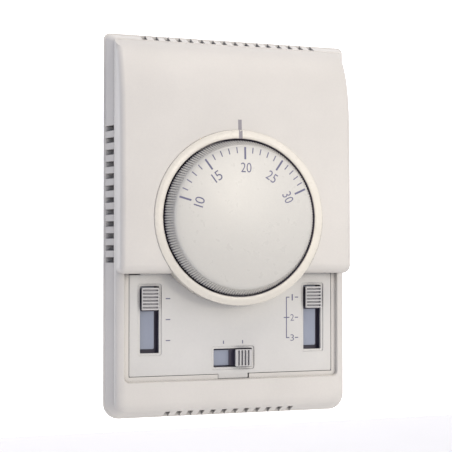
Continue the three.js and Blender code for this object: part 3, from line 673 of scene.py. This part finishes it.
CAPS = {name: Box(f"{name}_slider_cap") for name in ("mode", "fan", "power")}
JOINTS = {row["name"]: row for row in frame["record"]["behaviour"]["joints"]}
TRAVEL = {name: JOINTS[f"{name}_slide"]["range_m"][1] / MM for name in CAPS}
STOP = TRAVEL["mode"] / 2
SIDE_ROOM = 0.3
END_ROOM = 0.45
POWER_SIDE_ROOM = 0.25


def window_of(name):
    """A window takes in its cap at both ends of the cap's travel."""
    at, travel = CAPS[name], TRAVEL[name]
    if name == "power":
        return at.x0 - travel - END_ROOM, at.x1 + END_ROOM, at.y0 - POWER_SIDE_ROOM, at.y1 + POWER_SIDE_ROOM
    return at.x0 - SIDE_ROOM, at.x1 + SIDE_ROOM, at.y0 - travel - END_ROOM, at.y1 + END_ROOM


WINDOWS = [window_of(name) for name in CAPS]
WINDOW_LEDGE = 0.8
LEDGE_DEPTH = 0.35
PLATE = (-PANEL_HALF, PANEL_HALF, PANEL_BOTTOM, PANEL_TOP)
PLATE_CORNER = 0.4
LEG_RADIUS = 1.5
LEG_BACK = 4.6
BEZEL_ROOM_RADIUS = 27.55

panel = loft("control_panel_plate", [
    (grown(PLATE, 0, PLATE_CORNER), PANEL_BACK),
    (grown(PLATE, 0, PLATE_CORNER), PANEL_FRONT - 0.15),
    (grown(PLATE, -0.04, PLATE_CORNER), PANEL_FRONT - 0.04),
    (grown(PLATE, -0.15, PLATE_CORNER), PANEL_FRONT),
])
boolean(panel, block(
    "tongue", -TONGUE, TONGUE, PANEL.y0, PANEL_BOTTOM + 0.6, PANEL_BACK + 0.01, PANEL_FRONT - 0.02,
), "UNION")
legs = [(x, y, LEG_RADIUS) for x in (-19, 19) for y in (-25, -47)]
boolean(panel, pegs("legs", legs, LEG_BACK, PANEL_BACK + 0.3, 20), "UNION")
for window in WINDOWS:
    out, deep = WINDOW_LEDGE, PANEL_FRONT - LEDGE_DEPTH
    boolean(panel, loft("ledge", [
        (grown(window, out, 0.8), deep),
        (grown(window, out, 0.8), PANEL_FRONT - 0.1),
        (grown(window, out + 0.1, 0.9), PANEL_FRONT + 0.02),
        (grown(window, out + 0.1, 0.9), PANEL_FRONT + 1),
    ]))
    boolean(panel, loft("window", [
        (grown(window, 0, 0.25), PANEL_BACK - 1),
        (grown(window, 0, 0.25), deep - 0.12),
        (grown(window, 0.14, 0.38), deep + 0.02),
        (grown(window, 0.14, 0.38), PANEL_FRONT + 1),
    ]))
boolean(panel, blocks("notches", [
    (-37, -32.1, -16.5, PANEL_TOP + 1, 5, 10),
    (31.7, 34, -16.2, PANEL_TOP + 1, 5, 10),
]))
boolean(panel, pegs("dial_clearance", [(0, DIAL_Y, BEZEL_ROOM_RADIUS)], 5, 10, 128))
dress(panel, "panel_moulding", stands_for=["control_panel"])

# --------------------------------------------------------------------- sliders

RIB_PITCH = 1.14
GROOVE_HALF = 0.27
GROOVE_DEPTH = 0.72
GROOVE_END = 0.35
GROOVE_FLARE = 0.09
HEAD_MARGIN = 0.2
# The slider head's steps behind the panel, each as (back, front).
COLLAR = (6.45, 6.7)
STEM = (5.6, 6.7)
FOOT = (5.15, 5.8)
HEAD_BACK = 6.6
STEM_ROOM = 0.3
LEAF_CHAMFER = 0.12


def slider(name, level):
    """A ribbed cap on a dark slider head, and the grey leaf that closes the window."""
    body = f"{name}_slider"
    at = CAPS[name]
    cap = block(f"{name}_ribbed_cap", at.x0, at.x1, at.y0, at.y1, at.z0, at.z1, 0.3)
    soften(cap, 0.1)
    ribs = 5 if level else 7
    for i in range(ribs - 1):
        along = RIB_PITCH * (i - (ribs - 2) / 2)
        if level:
            x0, x1 = at.x + along - GROOVE_HALF, at.x + along + GROOVE_HALF
            y0, y1 = at.y0 + GROOVE_END, at.y1 - GROOVE_END
        else:
            x0, x1 = at.x0 + GROOVE_END, at.x1 - GROOVE_END
            y0, y1 = at.y + along - GROOVE_HALF, at.y + along + GROOVE_HALF
        groove = (x0, x1, y0, y1)
        boolean(cap, loft("groove", [
            (grown(groove, -0.06, 0.12, 4), at.z1 - GROOVE_DEPTH),
            (grown(groove, 0, 0.18, 4), at.z1 - 0.12),
            (grown(groove, GROOVE_FLARE, 0.25, 4), at.z1 + 0.01),
            (grown(groove, GROOVE_FLARE, 0.25, 4), at.z1 + 1),
        ]))
    dress(cap, LOOKS["cap_moulding"], body, [f"{name}_slider_cap"])

    whole = Box(f"{name}_slider_actuator")
    head = block(
        f"{name}_slider_head", at.x0 + HEAD_MARGIN, at.x1 - HEAD_MARGIN,
        at.y0 + HEAD_MARGIN, at.y1 - HEAD_MARGIN, HEAD_BACK, whole.z1, 0.35,
    )
    soften(head, 0.08, 2)
    boolean(head, block("collar", whole.x0, whole.x1, whole.y0, whole.y1, *COLLAR, 0.5), "UNION")
    stem, foot = ((1.5, 1.0), (3.0, 2.5)) if level else ((1.0, 1.5), (2.5, 3.0))
    for part, half, depths in (("stem", stem, STEM), ("foot", foot, FOOT)):
        boolean(head, blocks(part, [(
            at.x - half[0], at.x + half[0], at.y - half[1], at.y + half[1], *depths,
        )]), "UNION")
    dress(head, "black_plastic", body, [f"{name}_slider_actuator"])

    leaf_box = Box(f"{name}_slider_shutter")
    leaf_sides = (leaf_box.x0, leaf_box.x1, leaf_box.y0, leaf_box.y1)
    leaf = loft(f"{name}_window_leaf", [
        (grown(leaf_sides, 0, 0.6), leaf_box.z0),
        (grown(leaf_sides, 0, 0.6), leaf_box.z1 - LEAF_CHAMFER),
        (grown(leaf_sides, -LEAF_CHAMFER, 0.5), leaf_box.z1),
    ])
    boolean(leaf, blocks("stem_hole", [(
        at.x - stem[0] - STEM_ROOM, at.x + stem[0] + STEM_ROOM,
        at.y - stem[1] - STEM_ROOM, at.y + stem[1] + STEM_ROOM, 5, 8,
    )]))
    dress(leaf, "switch_grey", body, [f"{name}_slider_shutter"])


slider("mode", False)
slider("fan", False)
slider("power", True)

# ----------------------------------------------------------------- bezel, knob

outer, ring_front = BEZEL.x1, BEZEL.z1
BEZEL_INNER = 26.25
RING_INNER_EDGE = 26.62
RING_OUTER_EDGE = 0.40
RING_EDGE_DROP = 0.19
RING_EDGE_WIDTH = 0.34
POST_HOLE_RADIUS = 1.5
PIN_HOLE_RADIUS = 1.2
bezel = revolve("bezel_ring", [
    (5, 10.8), (BEZEL_INNER, 10.8), (BEZEL_INNER, 8.6), (28.75, 8.6), (28.9, 8.75), (28.9, 14.6),
    (29.0, 14.75),
    (outer, 14.95), (outer, ring_front - 0.40), (outer - 0.06, ring_front - 0.19),
    (outer - 0.19, ring_front - 0.06), (outer - 0.40, ring_front), (RING_INNER_EDGE, ring_front),
    (26.45, ring_front - 0.04), (26.31, ring_front - 0.14), (BEZEL_INNER, ring_front - 0.32),
    (BEZEL_INNER, 12.4), (5, 12.4),
], 240)
floor_holes = [(Box(n).x, Box(n).y, POST_HOLE_RADIUS) for n in ("bezel_post_left", "bezel_post_right")]
floor_holes += [(Box(n).x, Box(n).y, PIN_HOLE_RADIUS) for n in ("limit_pin_low", "limit_pin_high")]
boolean(bezel, pegs("floor_holes", floor_holes, 9, 14))
dress(bezel, "cream_moulding", stands_for=["dial_bezel"], smooth=50)

RIBS = 180
SAMPLES = 6
DOME = 0.0012
KNOB_TOP = KNOB.z1
KNOB_BACK = KNOB.z0
SKIRT = KNOB.x1
SKIRT_FLARE = 0.1
GROOVE_SHAPE = (0, 0, 0.35, 1, 0.35, 0)


def dome(radius):
    return KNOB_TOP - DOME * radius * radius


face_edge = dome(23.0)
knob_profile = [(0, KNOB_TOP)] + [(r, dome(r)) for r in (3, 7, 11, 15, 19, 21.5, 22.7)] + [
    (23.15, face_edge - 0.06), (23.5, face_edge - 0.24), (23.72, face_edge - 0.5), (23.84, face_edge - 0.8),
    (24.05, face_edge - 1.35), (24.6, 19.6), (25.2, 18.4), (25.75, 17.2),
    (SKIRT + SKIRT_FLARE, KNOB_BACK + 0.25),
    (SKIRT - 0.2, KNOB_BACK), (24.1, KNOB_BACK), (22.3, 20.6), (5.4, 20.6), (5.4, 13.6),
    (2.5, 13.6), (2.5, 19.6), (0, 19.6),
]
GROOVE_BY_RING = {11: 0.10, 12: 0.28, 13: 0.38, 14: 0.44, 15: 0.48, 16: 0.50, 17: 0.40}


def rib_groove(index, step):
    return GROOVE_BY_RING.get(index, 0) * GROOVE_SHAPE[step % SAMPLES]


knob = revolve("setpoint_knob", knob_profile, RIBS * SAMPLES, rib_groove)
dress(knob, LOOKS["knob_moulding"], "dial", ["dial_knob"], smooth=40)

# ------------------------------------------------------------ scale and marks

INK = 0.03
INK_ROOT = -0.02


def print_on(name, outlines, height, look=PRINT, body="housing"):
    """Thin printed marks: flat outlines laid on the surface height(x, y)."""
    points, faces = [], []
    for outline in outlines:
        first, count = len(points), len(outline)
        for lift in (INK_ROOT, INK):
            points += [(x, y, height(x, y) + lift) for x, y in outline]
        faces.append(tuple(first + i for i in reversed(range(count))))
        faces.append(tuple(first + count + i for i in range(count)))
        for i in range(count):
            j = (i + 1) % count
            faces.append((first + i, first + j, first + count + j, first + count + i))
    return dress(build(name, points, faces), look, body)


def lettering(name, text, place, height, look=PRINT, body="housing", spacing=1.0):
    """Lettering in the plain built-in face. place maps a point of the unit box to the front view."""
    curve = bpy.data.curves.new(name, "FONT")
    curve.body = text
    curve.extrude = 0.5
    curve.offset = -0.005
    curve.space_character = spacing
    curve.resolution_u = 4
    holder = bpy.data.objects.new(name, curve)
    scene.collection.objects.link(holder)
    bpy.context.view_layer.update()
    mesh = bpy.data.meshes.new_from_object(holder.evaluated_get(bpy.context.evaluated_depsgraph_get()))
    bpy.data.objects.remove(holder)
    bpy.data.curves.remove(curve)
    xs = [v.co.x for v in mesh.vertices]
    ys = [v.co.y for v in mesh.vertices]
    low, size = (min(xs), min(ys)), (max(xs) - min(xs), max(ys) - min(ys))
    points = []
    for vertex in mesh.vertices:
        x, y = place((vertex.co.x - low[0]) / size[0], (vertex.co.y - low[1]) / size[1])
        points.append((x, y, height(x, y) + (INK if vertex.co.z > 0 else INK_ROOT)))
    faces = [tuple(face.vertices) for face in mesh.polygons]
    return dress(build(name, points, faces), look, body)


def on_panel(x, y):
    return PANEL_FRONT


def on_knob(x, y):
    return dome(math.hypot(x, y - DIAL_Y))


def radial_bar(degrees, inner, outer_radius, width):
    """A bar that points away from the dial's axis; degrees run clockwise from the top."""
    angle = math.radians(degrees)
    away, across = (math.sin(angle), math.cos(angle)), (math.cos(angle), -math.sin(angle))
    outline = []
    count = 4
    for side, order in ((-1, range(count + 1)), (1, reversed(range(count + 1)))):
        for i in order:
            r = inner + (outer_radius - inner) * i / count
            outline.append((
                away[0] * r + across[0] * side * width / 2,
                DIAL_Y + away[1] * r + across[1] * side * width / 2,
            ))
    return outline


SCALE = {10: -74.0, 15: -36.0, 20: 0.0, 25: 34.5, 30: 65.5}
marks = sorted(SCALE)
bars = [radial_bar(SCALE[mark], 18.9, 22.95, 0.62) for mark in marks]
for mark, following in zip(marks, marks[1:]):
    for i in range(1, 5):
        degrees = SCALE[mark] + (SCALE[following] - SCALE[mark]) * i / 5
        bars.append(radial_bar(degrees, 21.0, 22.95, 0.34))
print_on("scale_marks", bars, on_knob, body="dial")


def around_dial(degrees, radius, width, height):
    """Places lettering on the dial with its top outwards."""
    angle = math.radians(degrees)

    def place(u, v):
        across, up = (u - 0.5) * width, radius + (v - 0.5) * height
        x = up * math.sin(angle) + across * math.cos(angle)
        y = up * math.cos(angle) - across * math.sin(angle)
        return x, DIAL_Y + y

    return place


# Each number's angle, its width and the spacing of its digits.
NUMBERS = {
    10: (-73.0, 3.1, 0.80),
    15: (-36.2, 3.0, 0.80),
    20: (1.0, 3.6, 1.0),
    25: (34.3, 3.5, 1.0),
    30: (65.8, 3.4, 1.0),
}
NUMBER_RADIUS = 16.2
NUMBER_HEIGHT = 3.2
for mark, (degrees, width, spacing) in NUMBERS.items():
    place = around_dial(degrees, NUMBER_RADIUS, width, NUMBER_HEIGHT)
    lettering(f"scale_number_{mark}", str(mark), place, on_knob, body="dial", spacing=spacing)


def in_box(x0, x1, y0, y1):
    def place(u, v):
        return x0 + (x1 - x0) * u, y0 + (y1 - y0) * v

    return place


# The fan speeds' numbers, each in a box given from the middle of the cap at rest. Numbers are the
# only lettering: the object's words and its unit sign are left out.
LEGENDS = [
    ("legend_speed_1", "1", "fan", (-7.68, -7.22, -1.15, 1.05)),
    ("legend_speed_2", "2", "fan", (-8.15, -6.85, -8.15, -5.90)),
    ("legend_speed_3", "3", "fan", (-8.15, -6.85, -15.15, -12.90)),
]
for name, text, cap, (x0, x1, y0, y1) in LEGENDS:
    at = CAPS[cap]
    lettering(name, text, in_box(at.x + x0, at.x + x1, at.y + y0, at.y + y1), on_panel)


def bar_outline(x0, x1, y0, y1):
    return [(x0, y0), (x1, y0), (x1, y1), (x0, y1)]


LINE = 0.17
BRACKET = -9.6
BRACKET_END = BRACKET + 1.1
APART = 0.005


def panel_marks():
    """A tick for each position of each slider, and the bracket that joins the three fan speeds."""
    mode, fan, power = CAPS["mode"], CAPS["fan"], CAPS["power"]
    bars = []
    for i in range(3):
        y = mode.y - STOP * i
        bars.append(bar_outline(mode.x + 5.45, mode.x + 7.0, y - LINE, y + LINE))
        y = fan.y - STOP * i
        start = BRACKET - 1.0 if i == 1 else BRACKET
        bars.append(bar_outline(fan.x - 6.5, fan.x - 5.3, y - LINE, y + LINE))
        bars.append(bar_outline(fan.x + BRACKET + LINE + APART, fan.x + BRACKET_END, y - LINE, y + LINE))
        if start < BRACKET:
            bars.append(bar_outline(fan.x + start, fan.x + BRACKET - LINE - APART, y - LINE, y + LINE))
    bars.append(bar_outline(
        fan.x + BRACKET - LINE, fan.x + BRACKET + LINE, fan.y - 2 * STOP - LINE, fan.y + LINE,
    ))
    for x in (power.x - TRAVEL["power"], power.x):
        bars.append(bar_outline(x - LINE, x + LINE, power.y + 4.8, power.y + 5.95))
    return bars


print_on("panel_marks", panel_marks(), on_panel)


def on_hood(x, y):
    """Height of the hood's front surface, from its side view."""
    line = hood_profile(0)
    for (y1, z1), (y0, z0) in zip(line[1:], line[2:]):
        if y0 <= y <= y1:
            return z0 + (z1 - z0) * (y - y0) / (y1 - y0)
    return HOOD_FRONT


def strip(x0, x1, y0, y1, steps=5):
    left = [(x0, y0 + (y1 - y0) * i / steps) for i in reversed(range(steps + 1))]
    return left + [(x1, y0 + (y1 - y0) * i / steps) for i in range(steps + 1)]


def on_bezel(x, y):
    """Height of the ring's front, which falls away at both its edges."""
    radius = math.hypot(x, y - DIAL_Y)
    past_edge = max(RING_INNER_EDGE - radius, radius - outer + RING_OUTER_EDGE)
    return ring_front - RING_EDGE_DROP * max(0, min(1, past_edge / RING_EDGE_WIDTH)) ** 2


ring_top = DIAL_Y + outer
POINTER_HALF = 0.62
POINTER_TOP = 35.3
pointer_low = strip(-POINTER_HALF, POINTER_HALF, DIAL_Y + 26.33, ring_top - 0.06, 12)
pointer_high = strip(-POINTER_HALF, POINTER_HALF, ring_top + 0.16, POINTER_TOP)
print_on("pointer_on_bezel", [pointer_low], on_bezel, POINTER_INK)
print_on("pointer_on_hood", [pointer_high], on_hood, POINTER_INK)

# ------------------------------------------------------------- floor, backdrop


def sheet(name, corners, colour, glow):
    material, tree, shader = shader_nodes(name)
    tint = blend_colours(tree, noise(tree, 6, 2), tuple(c * 0.985 for c in colour), colour)
    tree.links.new(tint, shader.inputs["Base Color"])
    shader.inputs["Roughness"].default_value = 0.9
    shader.inputs["Emission Color"].default_value = (1, 1, 1, 1)
    shader.inputs["Emission Strength"].default_value = glow
    mesh = bpy.data.meshes.new(name)
    mesh.from_pydata(corners, [], [(0, 1, 2, 3)])
    made = bpy.data.objects.new(name, mesh)
    made.data.materials.append(material)
    scene.collection.objects.link(made)


FLOOR_Z = -0.235
REACH = 3
BACKDROP_Y = 0.9
sheet("floor", [
    (-REACH, -REACH, FLOOR_Z), (REACH, -REACH, FLOOR_Z), (REACH, REACH, FLOOR_Z), (-REACH, REACH, FLOOR_Z),
], (0.77, 0.76, 0.75), 0.0)
sheet("backdrop", [
    (-REACH, BACKDROP_Y, FLOOR_Z), (REACH, BACKDROP_Y, FLOOR_Z),
    (REACH, BACKDROP_Y, REACH), (-REACH, BACKDROP_Y, REACH),
], (0.9, 0.9, 0.9), 1.0)
